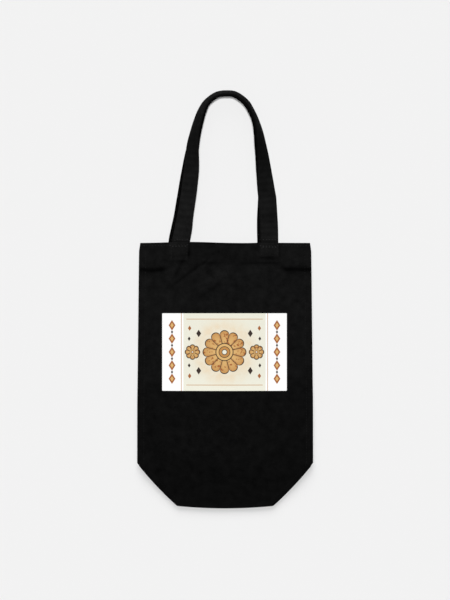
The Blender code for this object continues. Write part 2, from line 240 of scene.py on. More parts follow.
class Nodes:
    """A new material and its nodes, each of them made by one call."""

    def __init__(self, name: str) -> None:
        """Make a material with a Principled shader.

        Args:
            name: Name of the material.
        """
        self.material = bpy.data.materials.new(name)
        self.material.use_nodes = True
        self.tree = self.material.node_tree
        self.shader = self.tree.nodes["Principled BSDF"]

    def give(self, node: bpy.types.Node, inputs: dict) -> None:
        """Give some of a node's inputs what they are to have.

        Args:
            node: The node.
            inputs: Numbers, colours or values, by the inputs' names or numbers.
        """
        for key, value in inputs.items():
            if isinstance(value, Value):
                self.tree.links.new(value.socket, node.inputs[key])
            else:
                node.inputs[key].default_value = value

    def node(self, kind: str, inputs: dict, output: object = 0, **settings: object) -> Value:
        """Add a node.

        Args:
            kind: Its type.
            inputs: What its inputs are given, by name or number.
            output: Name or number of the output that is wanted.
            settings: Its properties.

        Returns:
            The output.
        """
        made = self.tree.nodes.new(kind)
        for key, value in settings.items():
            setattr(made, key, value)
        self.give(made, inputs)
        return Value(self, made.outputs[output])

    def math(self, operation: str, *values: object) -> Value:
        """One step of arithmetic."""
        return self.node("ShaderNodeMath", dict(enumerate(values)), operation=operation)

    def parts(self, vector: Value) -> list[Value]:
        """The three numbers of a vector."""
        first = self.node("ShaderNodeSeparateXYZ", {0: vector})
        return [Value(self, socket) for socket in first.socket.node.outputs]

    def place(self) -> tuple[Value, ...]:
        """The three Object coordinates, in millimetres."""
        return tuple(part / MM for part in self.parts(self.node("ShaderNodeTexCoord", {}, "Object")))

    def mark(self) -> list[Value]:
        """The three numbers of the attribute "mark"."""
        return self.parts(self.node("ShaderNodeAttribute", {}, "Vector", attribute_name="mark"))

    def noise(self, place: tuple[Value, ...], size: float, detail: float) -> Value:
        """Add smooth noise from 0 to 1.

        Args:
            place: The three coordinates.
            size: About how wide its blotches are.
            detail: How many finer octaves it has.

        Returns:
            The noise.
        """
        where = self.node("ShaderNodeCombineXYZ", dict(enumerate(place)))
        inputs = {"Vector": where, "Scale": 1.0 / size, "Detail": detail}
        return self.node("ShaderNodeTexNoise", inputs, "Fac")

    def wave(self, value: Value, pitch: float) -> Value:
        """A sine wave from -1 to 1 that repeats at a pitch."""
        return self.math("SINE", value * (2.0 * np.pi / pitch))

    def mix(self, share: Value, first: object, second: object) -> Value:
        """A colour between the first, where the share is 0, and the second, where it is 1."""
        return self.node("ShaderNodeMix", {0: share, 6: first, 7: second}, 2, data_type="RGBA")

    def below(self, value: Value, level: float, soft: float = 0.15) -> Value:
        """1 where a value is below a level and 0 above it, with a soft border."""
        return self.node("ShaderNodeClamp", {"Value": (level - value) / soft + 0.5})

    def dress(self, colour: Value, roughness: float, gloss: float) -> None:
        """Give the shader its colour, its roughness and its gloss."""
        inputs = {"Base Color": colour, "Roughness": roughness, "Specular IOR Level": gloss}
        self.give(self.shader, inputs)

    def bump(self, height: Value, distance: float, strength: float) -> None:
        """Give the shader a relief whose height 1 stands for a distance."""
        inputs = {"Height": height, "Distance": distance * MM, "Strength": strength}
        self.give(self.shader, {"Normal": self.node("ShaderNodeBump", inputs)})


def grey(level: float) -> Colour:
    """A neutral colour of a linear brightness."""
    return (level, level, level, 1.0)


@dataclass(frozen=True)
class ClothFinish:
    """Matt black woven cloth: plain weave, soft blotches and painted shade in creases.

    The attribute "mark" holds two amounts of painted shade on the bag, in creases and broad ones, and
    on a ribbed strap the places along and across it and one amount of painted shade; there the ribs
    are painted lighter and darker along the strap, as painted light and shade.
    """

    name: str
    level: float
    weave: float = 0.9
    blotch: float = 1.5
    ribs: float = 0.0
    rib_pitch: float = 6.8
    thread_size: float = 3.0
    relief: float = 0.10
    roughness: float = 0.95
    gloss: float = 0.035

    def make(self) -> bpy.types.Material:
        """Build the material.

        Returns:
            The material.
        """
        nodes = Nodes(self.name)
        x, y, z = nodes.place()
        # crease and shade are amounts of painted shade read from the attribute "mark"; below zero, crease
        # is a painted highlight.
        crease, shade, _ = nodes.mark()
        if self.ribs:
            x, y, shade = nodes.mark()
            # On a strap the ribs get painted light and shade, a wave along it.
            crease = nodes.wave(x, self.rib_pitch) * self.ribs
        checks = nodes.wave(x, self.weave) * nodes.wave(y, self.weave)
        slubs = nodes.noise((x * 4.0, y, z), self.thread_size, 2.0)
        knots = nodes.noise((x, y * 4.0, z), self.thread_size, 2.0)
        blotch = nodes.noise((x, y, z), 8.0, 3.0)
        fuzz = nodes.noise((x, y, z), 0.8, 2.0)
        tone = blotch * self.blotch + (0.4 - 0.5 * self.blotch) + slubs * 0.6 + knots * 0.6
        # Painted shade darkens the tone.
        tone = (tone + checks * 0.10) * (1.0 - shade) * (1.0 - crease)
        nodes.dress(nodes.mix(tone * 0.5, grey(0.0), grey(2.0 * self.level)), self.roughness, self.gloss)
        nodes.bump(checks * 0.5 + fuzz * 0.7 + slubs * 0.6, self.relief, 0.7)
        return nodes.material


@dataclass(frozen=True)
class ThreadFinish:
    """Black sewing thread with a fine twist; the attribute "mark" says how much painted highlight makes it
    paler.
    """

    name: str
    level: float
    pale: float
    twist: float = 0.5

    def make(self) -> bpy.types.Material:
        """Build the material.

        Returns:
            The material.
        """
        nodes = Nodes(self.name)
        x, y, z = nodes.place()
        twist = nodes.wave(x + y + z, self.twist)
        colour = nodes.mix(nodes.mark()[0], grey(self.level), grey(self.pale))
        nodes.dress(nodes.mix(twist * 0.15 + 0.15, colour, grey(0.0)), 0.7, 0.05)
        nodes.bump(twist, 0.05, 0.6)
        return nodes.material


@dataclass(frozen=True)
class PrintFinish:
    """A plain ornament of flowers and diamonds on a cream band with white margins."""

    name: str
    middle: tuple[float, float]
    band: float = 43.0
    flower_radius: float = 22.5
    flower_petals: int = 12
    side_flower_place: float = 33.5
    side_flower_radius: float = 7.6
    side_flower_petals: int = 8
    halo_radius: float = 26.0
    halo_width: float = 8.0
    rule_row: float = 34.5
    rule_length: float = 40.0
    rule_column: float = 45.2
    rule_half: float = 0.3
    margin_column: float = 55.0
    white: Colour = (0.905, 0.905, 0.90, 1.0)
    cream: Colour = (0.765, 0.755, 0.645, 1.0)
    peach: Colour = (0.76, 0.60, 0.40, 1.0)
    light_tan: Colour = (0.66, 0.41, 0.15, 1.0)
    tan: Colour = (0.48, 0.225, 0.058, 1.0)
    rust: Colour = (0.34, 0.105, 0.022, 1.0)
    ink: Colour = (0.022, 0.012, 0.008, 1.0)

    def make(self) -> bpy.types.Material:
        """Build the material."""
        return Ornament(self).draw()


class Ornament:
    """Draws the print's forms one over the other, placed from its middle."""

    def __init__(self, finish: PrintFinish) -> None:
        """Start with the coordinates and the noises of the finish's material.

        Args:
            finish: The sizes and colours of the print.
        """
        self.finish = finish
        self.nodes = Nodes(finish.name)
        self.xyz = self.nodes.place()
        self.east = self.xyz[0] - finish.middle[0]
        self.north = self.xyz[1] - finish.middle[1]
        self.wide = abs(self.east)
        self.tall = abs(self.north)
        self.grain = self.nodes.noise(self.xyz, 6.0, 3.0)
        self.spots = self.nodes.noise(self.xyz, 2.6, 1.0)
        self.colour: Value | Colour = finish.white

    def draw(self) -> bpy.types.Material:
        """Draw the band and its halo, the flowers, the thin rules and the diamonds.

        Returns:
            The material.
        """
        finish = self.finish
        nodes = self.nodes
        halo = (self._reach(self.east) - finish.halo_radius) / finish.halo_width
        halo = nodes.math("EXPONENT", halo * halo * -1.0)
        ground = nodes.mix(halo * self.grain, finish.cream, finish.peach)
        self._paint(nodes.below(self.wide, finish.band), ground)
        self._flower(self.east, finish.flower_radius, finish.flower_petals)
        side = self.wide - finish.side_flower_place
        self._flower(side, finish.side_flower_radius, finish.side_flower_petals)
        rule = nodes.below(abs(self.tall - finish.rule_row), finish.rule_half)
        self._paint(rule * nodes.below(self.wide, finish.rule_length), finish.tan)
        self._paint(nodes.below(abs(self.wide - finish.rule_column), finish.rule_half), finish.tan)
        diamonds = [
            (27.0, 19.5, 2.6, finish.ink), (36.5, 25.0, 1.8, finish.rust), (37.0, 14.0, 1.5, finish.ink),
        ]
        for row in (0.0, 14.0, 28.0):
            diamonds.append((finish.margin_column, row, 3.6, finish.rust))
            diamonds.append((finish.margin_column, row, 1.8, finish.light_tan))
        for row in (7.0, 21.0):
            diamonds.append((finish.margin_column, row, 1.2, finish.ink))
        for diamond in diamonds:
            self._diamond(*diamond)
        self._paint(self.grain * 0.02, finish.tan)
        nodes.dress(self.colour, 0.62, 0.2)
        weave = nodes.wave(self.xyz[0], 0.9) * nodes.wave(self.xyz[1], 0.9)
        nodes.bump(weave * 0.4 + self.grain, 0.06, 0.5)
        return nodes.material

    def _paint(self, share: Value, tint: object) -> None:
        """Lay a colour over what is there, where the share is 1."""
        self.colour = self.nodes.mix(share, self.colour, tint)

    def _reach(self, aside: Value) -> Value:
        """Distance from a middle on the middle row: the root of the two squares' sum."""
        return self.nodes.math("SQRT", aside * aside + self.north * self.north)

    def _flower(self, aside: Value, radius: float, petals: int) -> None:
        """Draw a flower with inked petals round a ringed heart, on the middle row.

        The petals' tips lie on a circle that is cut in where the cosine of half as many turns as
        there are petals nears zero; the lines between them lie where it is zero.

        Args:
            aside: Distance to the right of its middle.
            radius: Its outer radius.
            petals: How many petals it has.
        """
        finish = self.finish
        nodes = self.nodes
        reach = self._reach(aside)
        turn = nodes.math("ARCTAN2", self.north, aside)
        lobes = abs(nodes.math("COSINE", turn * (0.5 * petals)))
        past = reach - (lobes ** 0.5 * (0.2 * radius) + 0.8 * radius)
        fill = nodes.mix((reach / radius) ** 3.0 * 0.9, finish.light_tan, finish.tan)
        fill = nodes.mix(nodes.below(lobes, 0.4, 0.8) * 0.6, fill, finish.rust)
        fill = nodes.mix(nodes.below(self.spots, 0.36, 0.03), fill, finish.rust)
        fill = nodes.mix(nodes.below(reach * lobes * (2.0 / petals), 0.32), fill, finish.ink)
        self._paint(nodes.below(past, 0.5), finish.ink)
        self._paint(nodes.below(past, -0.5), fill)
        rings = (
            (0.42, finish.ink), (0.38, finish.light_tan), (0.27, finish.ink), (0.24, finish.tan),
            (0.13, finish.ink), (0.10, finish.cream),
        )
        for size, tint in rings:
            self._paint(nodes.below(reach, size * radius), tint)

    def _diamond(self, aside: float, row: float, size: float, tint: Colour) -> None:
        """Draw a diamond in each quarter: the distances from its middle add up to less than a size."""
        length = abs(self.tall - row) * 0.65 + abs(self.wide - aside)
        self._paint(self.nodes.below(length, size), tint)


@dataclass(frozen=True)
class Ridge:
    """A soft fold of the front: a bell across it, and a flatter bell along it.

    x and drop are its middle, from the bag's centre line and down from the rim; length and width
    are its half sizes. A height below zero is a valley. heading is in degrees from +X. dark is how
    much shade is painted along the fold, and below zero how much painted highlight.
    """

    x: float
    drop: float
    length: float
    width: float
    height: float
    heading: float
    painted_shade: float = 0.0

    def share(self, x: Array, drop: Array) -> Array:
        """How much of the fold there is at some places.

        Args:
            x: Places from the centre line.
            drop: Places down from the rim.

        Returns:
            1 on the fold's line, fading to 0 away from it.
        """
        east = x - self.x
        north = self.drop - drop
        turn = np.radians(self.heading)
        along = (east * np.cos(turn) + north * np.sin(turn)) / self.length
        aside = (north * np.cos(turn) - east * np.sin(turn)) / self.width
        return np.exp(-(along ** 4)) * bell(aside)


@dataclass(frozen=True)
class StrapEnd:
    """Where a handle's end lies behind the front and lifts it: middle, half width and length."""

    x: float
    half: float
    length: float
    height: float
    soft: float = 1.6

    def patch(self, x: Array, drop: Array) -> Array:
        """1 on the lifted patch, with soft steps at its sides and lower end."""
        side = ramp(np.abs(x - self.x), self.half + 0.5 * self.soft, -self.soft)
        return side * ramp(drop, self.length + 0.9 * self.soft, -1.8 * self.soft)

    def shadow(self, x: Array, drop: Array) -> Array:
        """Say where shadow is painted beside the patch's edge.

        Args:
            x: Places from the centre line.
            drop: Places down from the rim.

        Returns:
            1 in the painted shadow along its right side, and less along its lower end.
        """
        right = bell(x, self.x + self.half + 0.6, 1.2) * ramp(drop, self.length + 1.5, -3.0)
        lower = bell(drop, self.length + 1.0, 1.3) * ramp(np.abs(x - self.x), self.half + 1.5, -3.0)
        return np.maximum(right, 0.8 * lower)


# Each row: x, drop, length, width, height, heading and, in the later rows, the painted shade along the
# fold, which is a painted highlight below zero.
RIDGES = tuple(Ridge(*row) for row in (
    (-27.6, 29.9, 21.0, 4.0, 0.85, 45.0),
    (-4.5, 38.4, 23.0, 6.2, 0.85, 40.0),
    (-49.5, 33.0, 17.0, 3.0, -0.75, 62.0),
    (-15.0, 26.0, 16.0, 3.0, -0.60, 38.0),
    (-7.0, 54.0, 19.0, 5.0, -0.55, 36.0),
    (18.0, 58.0, 16.0, 7.0, -0.35, 160.0),
    (-26.0, 3.0, 11.0, 5.0, -0.50, 15.0),
    (15.0, 10.0, 16.0, 4.0, 0.35, 10.0),
    (62.0, 33.0, 12.0, 4.5, -0.30, -20.0),
    (-68.0, 15.0, 12.0, 4.5, 0.30, 35.0),
    (0.0, 210.0, 50.0, 9.0, 0.45, 3.0),
    (-55.0, 195.0, 30.0, 7.0, -0.30, -24.0),
    (60.0, 202.0, 30.0, 7.0, -0.30, 30.0),
    (70.0, 125.0, 28.0, 6.0, 0.25, 78.0),
    (-76.0, 110.0, 30.0, 6.0, 0.25, 100.0),
    (-37.0, 31.5, 24.0, 2.0, -0.25, 37.0, 0.60),
    (-16.0, 50.5, 13.0, 2.8, -0.10, 35.0, 0.36),
    (-48.1, 26.8, 14.0, 2.0, -0.10, 65.0, 0.45),
    (-12.0, 36.8, 17.0, 5.2, 0.10, 28.0, -0.36),
    (-23.5, 19.5, 6.0, 1.1, 0.10, 42.0, -0.50),
    (-20.0, 22.7, 6.0, 1.1, 0.10, 42.0, -0.45),
    (-12.3, 22.4, 9.0, 1.5, -0.15, 0.0, 0.36),
    (38.8, 22.0, 20.0, 1.5, -0.15, 1.0, 0.48),
    (42.5, 15.7, 8.5, 1.9, -0.15, 0.0, 0.45),
    (-42.2, 13.7, 7.5, 2.2, -0.10, 12.0, 0.42),
    (-37.6, 9.5, 6.5, 1.5, -0.10, 80.0, 0.40),
    (-59.0, 23.2, 6.0, 1.3, -0.10, 0.0, 0.22),
    (60.0, 28.0, 9.0, 1.8, -0.10, -15.0, 0.25),
    (66.0, 15.5, 9.0, 5.0, 0.10, 20.0, -0.12),
    (-66.0, 20.0, 9.0, 4.0, 0.10, 20.0, 0.05),
    (0.0, 72.0, 50.0, 3.0, -0.10, 2.0, 0.10),
    (30.0, 205.0, 18.0, 4.0, 0.0, 60.0, -0.10),
    (-38.0, 212.0, 18.0, 4.0, 0.0, 120.0, -0.10),
    (-28.0, 232.0, 16.0, 5.0, 0.0, 10.0, 0.14),
    (45.0, 228.0, 16.0, 5.0, 0.0, 40.0, 0.14),
    (-72.0, 222.0, 14.0, 5.0, 0.0, -50.0, 0.18),
    (74.0, 220.0, 14.0, 5.0, 0.0, 50.0, 0.18),
))
STRAP_ENDS = (StrapEnd(-48.2, 10.0, 19.0, 0.75), StrapEnd(46.4, 10.0, 15.5, 0.75))


@dataclass
class FoldedBag:
    """The bag's fold plan and the height of each layer of its cloth.

    across and up are places on the fold plan: across from the centre line, up from the fold line
    of the bottom edge. inset is measured in from a layer's outer face.
    """

    cloth: float = 1.0
    base_depth: float = 86.0
    fold_radius: float = 2.8
    crown: float = 8.5
    bottom_bow: float = 2.4
    corner_bow: float = 1.2
    corner_lean: float = 2.8
    rim_dip: float = 1.2
    rim_peak: float = -36.0
    rim_reach: float = 30.0
    rim_drop: float = 2.7
    front_dip: float = 0.8
    tuck_room: float = 0.6
    tuck_pocket: float = 0.5
    settle_start: float = 4.0
    settle_length: float = 45.0
    hem_depth: float = 27.0
    hem_outer_drop: float = 28.3
    hem_middle_lift: float = 5.9
    hem_lift_start: float = -62.0
    hem_lift_end: float = 66.0
    strap_gap_middle: float = -5.5
    seam_gap: float = 0.3
    corner_cells: int = 22
    base_cells: int = 48
    upper_cells: int = 96
    side_cells: int = 8
    crease_cells: int = 2
    tuck_cells: int = 4
    heights: tuple[float, ...] = (0.0, 0.40, 0.75, 0.90, 0.97, 1.0)
    widths: tuple[float, ...] = (1.0, 0.999, 0.987, 0.982, 0.979, 0.966)

    def __post_init__(self) -> None:
        """Work out the fold lines, which lie a fold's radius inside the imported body's outline."""
        self.low, self.high = packed_box("body")
        self.fold_width = self.high[0] - self.low[0] - 2.0 * self.fold_radius
        self.fold_base = self.fold_width - self.base_depth
        self.y_fold = self.low[1] + self.fold_radius + self.bottom_bow
        self.fold_height = self.high[1] - self.y_fold
        self.tuck_top = 2.0 * self.cloth + self.tuck_room
        self.back_rise = self.tuck_top + self.tuck_pocket

    def width_share(self, up: Array) -> Array:
        """Share of the full width at a height, read from the short table."""
        return np.interp(up / self.fold_height, self.heights, self.widths)

    def half_width(self, up: Array) -> Array:
        """Half the width: it grows by the height over the boxed corners."""
        corner = 0.5 * self.fold_base + np.minimum(up, 0.5 * self.base_depth)
        return corner * self.width_share(up)

    def back_lift(self, up: Array) -> Array:
        """Height of the back over the floor: on the folded base, then down to the floor."""
        settled = ramp(up, self.base_depth + self.settle_start, self.settle_length)
        return self.back_rise * ramp(up, 0.0, 0.5 * self.base_depth) * (1.0 - settled)

    def hem_line(self, x: Array) -> Array:
        """How far below the rim the hem's stitching shows: higher over the middle, and wavering."""
        lift = self.hem_middle_lift * ramp(x, self.hem_lift_start, 14.0) * ramp(x, self.hem_lift_end, -12.0)
        return self.hem_outer_drop - lift + 0.5 * np.sin(x / 7.0) + 0.35 * np.sin(x / 3.1 + 1.0)

    def between_straps(self, x: Array, half: float) -> Array:
        """1 between the straps and 0 past a half width: e to the minus fourth power of the share."""
        return np.exp(-(((x - self.strap_gap_middle) / half) ** 4))

    def relief(self, across: Array, up: Array) -> Array:
        """Work out the front's folds, hem, strap ends, seams and slow waves, over its swell.

        Args:
            across: Places across the plan.
            up: Places up it.

        Returns:
            Their height.
        """
        x = across * self.width_share(up)
        drop = self.fold_height - up
        total = sum(ridge.height * ridge.share(x, drop) for ridge in RIDGES)
        total = total + sum(end.height * end.patch(x, drop) for end in STRAP_ENDS)
        below = drop - self.hem_line(x)
        outer = ramp(np.abs(x), 46.0, 16.0)
        pucker = 1.0 + 0.25 * np.sin(x / 0.9) + 0.15 * np.sin(x / 2.1)
        total = total + 0.45 * ramp(below, 1.2, -2.4)
        total = total - (0.30 + 0.75 * outer) * pucker * bell(below, 0.0, 1.3)
        total = total + 0.30 * outer * bell(below, 4.2, 2.4)
        total = total - 0.18 * bell(drop, self.rim_drop, 0.7)
        slow = np.sin(x / 17.0 + 1.3) * np.sin(up / 21.0 + 0.4)
        slow = slow + 0.7 * np.sin(x / 9.0 - up / 26.0)
        slow = slow + 0.5 * np.sin(up / 8.5 + x / 31.0 + 2.0)
        inside = ramp(self._to_edge(across, up), 0.0, 3.0)
        return (total + 0.13 * slow) * inside + self._seams(across, up)

    def _to_edge(self, across: Array, up: Array) -> Array:
        """Measure how near a fold line is.

        Args:
            across: Places across the plan.
            up: Places up it.

        Returns:
            Distance to the nearest side, slanted corner or bottom fold line, never below zero.
        """
        side = self.half_width(up) - np.abs(across) * self.width_share(up)
        corner = (0.5 * self.fold_base + up - np.abs(across)) * np.sqrt(0.5)
        return np.maximum(np.minimum(np.minimum(side, corner), up), 0.0)

    def _seams(self, across: Array, up: Array) -> Array:
        """Work out the seam allowances' ridges inside the sides and corners, puckered by thread.

        Args:
            across: Places across the plan.
            up: Places up it.

        Returns:
            The ridges' height, with a ditch beside each.
        """
        edge = self._to_edge(across, up)
        x = across * self.width_share(up)
        along = np.where(up < 0.5 * self.base_depth, (up + np.abs(x)) * np.sqrt(0.5), up)
        pucker = 1.0 + 0.30 * np.sin(along / 0.95) + 0.20 * np.sin(along / 2.6 + MM * x)
        ridge = 0.26 * bell(edge, 2.2, 1.1) - 0.20 * bell(edge, 4.3, 0.8)
        return ridge * pucker * ramp(up, 0.0, 8.0)

    def swell(self, across: Array, up: Array) -> Array:
        """Work out the front's swell: a parabola across, easing in from the bottom edge.

        Args:
            across: Places across the plan.
            up: Places up it.

        Returns:
            Its height.
        """
        share = np.clip(np.abs(across) / self.half_width(up), 0.0, 1.0)
        rise = np.sin(0.5 * np.pi * np.clip(up / self.base_depth, 0.0, 1.0))
        ease = 1.0 - 0.15 * ramp(up, 0.3 * self.fold_height, self.fold_height)
        return (1.0 - share * share) * rise * self.crown * ease

    def height(self, layer: Layer, across: Array, up: Array, inset: float) -> Array:
        """Work out one face of a layer.

        Args:
            layer: The layer.
            across: Places across the plan.
            up: Places up it.
            inset: How far in from the layer's outer face.

        Returns:
            Height over the floor.
        """
        level = np.zeros(np.broadcast(across, up).shape)
        if layer is Layer.FRONT:
            top = 2.0 * self.fold_radius + self.back_lift(up) + self.swell(across, up)
            return level + top + self.relief(across, up) - inset
        if layer is Layer.BACK:
            return level + self.back_lift(up) + inset
        if layer is Layer.TUCK:
            return level + self.tuck_top - inset
        return level + inset

    def place(self, layer: Layer, across: Array, up: Array, inset: float) -> Array:
        """Turn places on the plan into points, with the outline's slight bows added.

        Args:
            layer: The layer.
            across: Places across the plan.
            up: Places up it.
            inset: How far in from the layer's outer face.

        Returns:
            The points.
        """
        corner = 0.5 * self.base_depth
        half_base = 0.5 * self.fold_base
        x = across * self.width_share(up)
        y = np.array(np.broadcast_to(up, x.shape), dtype=float)
        if layer in (Layer.FRONT, Layer.BASE):
            low = np.clip(1.0 - up / corner, 0.0, 1.0)
            middle = np.clip(1.0 - (across / half_base) ** 2, 0.0, 1.0)
            slant = np.clip((np.abs(across) - half_base) / corner, 0.0, 1.0)
            nearness = np.clip(np.abs(across) / self.half_width(up), 0.0, 1.0)
            bulge = self.corner_bow * 4.0 * slant * (1.0 - slant) * nearness ** 8 * np.sqrt(0.5)
            bulge = np.where(up < corner, bulge, 0.0)
            x = x + np.sign(across) * (bulge + self.corner_lean * low * nearness)
            y = y - self.bottom_bow * low * middle - bulge
        if layer in (Layer.FRONT, Layer.BACK):
            near_rim = ramp(up, self.fold_height - self.hem_depth, self.hem_depth)
            dip = self.rim_dip * (1.0 - bell(across, self.rim_peak, self.rim_reach))
            if layer is Layer.FRONT:
                dip = dip + self.front_dip * self.between_straps(across, 31.5)
            y = y - near_rim * dip
        return np.stack([x, self.y_fold + y, self.height(layer, across, up, inset)], axis=-1)

    def marks(self, layer: Layer, across: Array, up: Array, inset: float) -> Array:
        """Say how much shade is painted on the cloth, in creases and broadly.

        Args:
            layer: The layer.
            across: Places across the plan.
            up: Places up it.
            inset: How far in from the layer's outer face.

        Returns:
            Painted shade in creases (a painted highlight below zero), broad painted shade, and zero.
        """
        level = np.zeros(np.broadcast(across, up).shape)
        # Inner faces get an even painted shade; the other layers' outer faces get none.
        if layer is not Layer.FRONT or inset > 0.0:
            return np.stack([level + (0.6 if inset > 0.0 else 0.0), level, level], axis=-1)
        x = across * self.width_share(up)
        drop = self.fold_height - up
        below = drop - self.hem_line(x)
        outer = ramp(np.abs(x), 57.0, 10.0)
        between = self.between_straps(x, 33.0)
        # Painted shade along the hem's crease, along the rim between the straps and along the folds; a fold
        # with a number below zero gets a painted highlight.
        crease = (0.12 + 0.80 * outer) * bell(below, 0.6 * outer, 1.8 + 0.6 * outer)
        crease = crease + 0.22 * outer * bell(below, 4.5, 3.0)
        crease = crease + 0.55 * between * bell(drop, 0.3, 1.1)
        crease = crease + sum(ridge.painted_shade * ridge.share(x, drop) for ridge in RIDGES)
        # Painted shadow beside each strap end's step, and a painted highlight on the patch that it lifts.
        for end in STRAP_ENDS:
            crease = crease + 0.40 * end.shadow(x, drop) - 0.26 * end.patch(x, drop)
        # Broad painted shade: darker towards the bottom in three soft steps, and darker between the straps
        # near the hem.
        shade = 0.10 * ramp(drop, 70.0, 40.0) + 0.27 * ramp(drop, 141.0, 12.0)
        shade = shade + 0.07 * ramp(drop, 222.0, 24.0) + 0.18 * between * ramp(drop, 24.0, -6.0)
        return np.stack([np.clip(level + crease, -0.4, 0.9), level + shade, level], axis=-1)

    def plan_lines(self) -> tuple[Array, Array]:
        """Lay out the plan's grid, whose lines meet on the boxed corners' fold lines.

        Returns:
            Column and row positions.
        """
        corner = np.linspace(0.0, 0.5 * self.base_depth, self.corner_cells + 1)
        middle = np.linspace(-0.5 * self.fold_base, 0.5 * self.fold_base, self.base_cells + 1)
        columns = np.concatenate([middle[0] - corner[:0:-1], middle, middle[-1] + corner[1:]])
        upper = np.linspace(self.base_depth, self.fold_height, self.upper_cells + 1)
        return columns, np.concatenate([corner, 0.5 * self.base_depth + corner[1:], upper[1:]])


class BagBody:
    """The folded cloth shell: its outer face, its inner face and the turned edge at the mouth."""

    def __init__(self, bag: FoldedBag) -> None:
        """Work out the plan's last column and the row of the corners' tips.

        Args:
            bag: The fold plan.
        """
        self.bag = bag
        self.surface = Surface()
        self.last = bag.base_cells + 2 * bag.corner_cells
        self.tip = bag.corner_cells

    def _layer(self, layer: Layer, inset: float) -> tuple[Array, Array, Array]:
        """Add one layer's grid.

        Args:
            layer: The layer.
            inset: How far in from its outer face.

        Returns:
            Point numbers, below zero outside the layer, and the points and marks.
        """
        columns, rows = self.bag.plan_lines()
        across, up = np.meshgrid(columns, rows)
        column, row = np.meshgrid(np.arange(len(columns)), np.arange(len(rows)))
        edge = np.minimum(column, self.last - column)
        within = {
            Layer.FRONT: edge >= self.tip - row,
            Layer.BASE: (edge >= np.abs(self.tip - row)) & (row <= 2 * self.tip),
            Layer.TUCK: (edge >= row - self.tip) & (row >= self.tip) & (row <= 2 * self.tip),
            Layer.BACK: row >= self.tip,
        }[layer]
        points = self.bag.place(layer, across, up, inset)
        marks = self.bag.marks(layer, across, up, inset)
        tips = (row == self.tip) & (edge == 0)
        points[..., 0] -= np.where(tips, np.sign(across) * 1.2 * inset, 0.0)
        numbers = np.full(within.shape, -1)
        numbers[within] = self.surface.add(points[within], marks[within])
        self.surface.cells(numbers)
        return numbers, points, marks

    def _edge_normals(self, sign: float) -> Array:
        """Find the directions out of the lower or upper edge: straight, slanted, halved at corners.

        Args:
            sign: -1 for the lower edge, 1 for the upper.

        Returns:
            A direction for each column.
        """
        angle = np.full(self.last + 1, 90.0)
        angle[:self.tip] = 135.0
        angle[self.last - self.tip + 1:] = 45.0
        angle[[self.tip, self.last - self.tip, 0, self.last]] = (112.5, 67.5, 157.5, 22.5)
        turn = np.radians(angle)
        return np.stack([np.cos(turn), sign * np.sin(turn), np.zeros_like(turn)], axis=-1)

    def _fold(self, first: tuple, last: tuple, outward: Array, bulge: float, cells: int) -> Array:
        """Add a fold between two edges; its marks run from one edge's to the other's.

        Args:
            first: Numbers, points and marks of the first edge.
            last: Those of the last edge.
            outward: Direction that it bulges in.
            bulge: How far it bulges.
            cells: Cells round it.

        Returns:
            Point numbers, with the two edges.
        """
        share = (np.arange(1, cells) / cells)[:, None, None]
        marks = first[2] + (last[2] - first[2]) * share
        rows = self.surface.add(fold_rows(first[1], last[1], outward, bulge, cells), marks)
        return np.concatenate([first[0][None], rows, last[0][None]])

    def _skin(self, inset: float) -> tuple[Array, Array]:
        """Add one face of the cloth, folded.

        Args:
            inset: 0 for the outside, the cloth's thickness for the inside.

        Returns:
            The point numbers and the places of the loop round the mouth.
        """
        bag = self.bag
        surface = self.surface
        layers = {layer: self._layer(layer, inset) for layer in Layer}

        def edge(layer: Layer, rows: Array, columns: Array) -> tuple[Array, Array, Array]:
            """Numbers, points and marks of some of a layer's points."""
            return tuple(part[rows, columns] for part in layers[layer])

        columns = np.arange(self.last + 1)
        tuck = edge(Layer.TUCK, self.tip, columns)
        back = edge(Layer.BACK, self.tip, columns)
        down = np.array([0.0, -1.0, 0.0])
        crease = self._fold(tuck, back, down, 0.5 * bag.tuck_pocket + inset, bag.crease_cells)
        surface.cells(crease)

        low = np.maximum(self.tip - np.minimum(columns, self.last - columns), 0)
        base = edge(Layer.BASE, 2 * self.tip - low, columns)
        tuck = edge(Layer.TUCK, 2 * self.tip - low, columns)
        upward = self._edge_normals(1.0)
        small = self._fold(base, tuck, upward, 0.5 * bag.tuck_top - inset, bag.tuck_cells)
        surface.cells(small)

        sides = []
        high = np.arange(self.tip, len(layers[Layer.FRONT][0]))
        for column, sign in ((0, -1.0), (self.last, 1.0)):
            front = edge(Layer.FRONT, high, column)
            back = edge(Layer.BACK, high, column)
            out = np.array([sign, 0.0, 0.0])
            sides.append(self._fold(front, back, out, bag.fold_radius - inset, bag.side_cells))
            surface.cells(sides[-1])

        front = edge(Layer.FRONT, low, columns)
        base = edge(Layer.BASE, low, columns)
        cells = bag.side_cells + bag.crease_cells + bag.tuck_cells
        inner = [tuple(part[1:-1] for part in row) for row in (front, base)]
        downward = self._edge_normals(-1.0)[1:-1]
        bottom = self._fold(*inner, downward, bag.fold_radius - inset, cells)
        ends = [
            np.concatenate([
                front[0][[column]], side[1:, 0], crease[::-1, column][1:], small[::-1, column][1:],
            ])[:, None]
            for side, column in ((sides[0], 0), (sides[1], self.last))
        ]
        surface.cells(np.concatenate([ends[0], bottom, ends[1]], axis=1))

        loop = np.concatenate([
            layers[Layer.FRONT][0][-1],
            sides[1][1:-1, -1],
            layers[Layer.BACK][0][-1][::-1],
            sides[0][-2:0:-1, -1],
        ])
        return loop, surface.at(loop)

    def build(self) -> bpy.types.Object:
        """Make the piece.

        Returns:
            The new object.
        """
        outer, outer_at = self._skin(0.0)
        inner, inner_at = self._skin(self.bag.cloth)
        up = np.array([0.0, 1.0, 0.0])
        lip = self.surface.add(fold_rows(outer_at, inner_at, up, 0.5 * self.bag.cloth, 4))
        self.surface.cells(np.concatenate([outer[None], lip, inner[None]]), closed=True)
        return self.surface.build("bag_cloth")


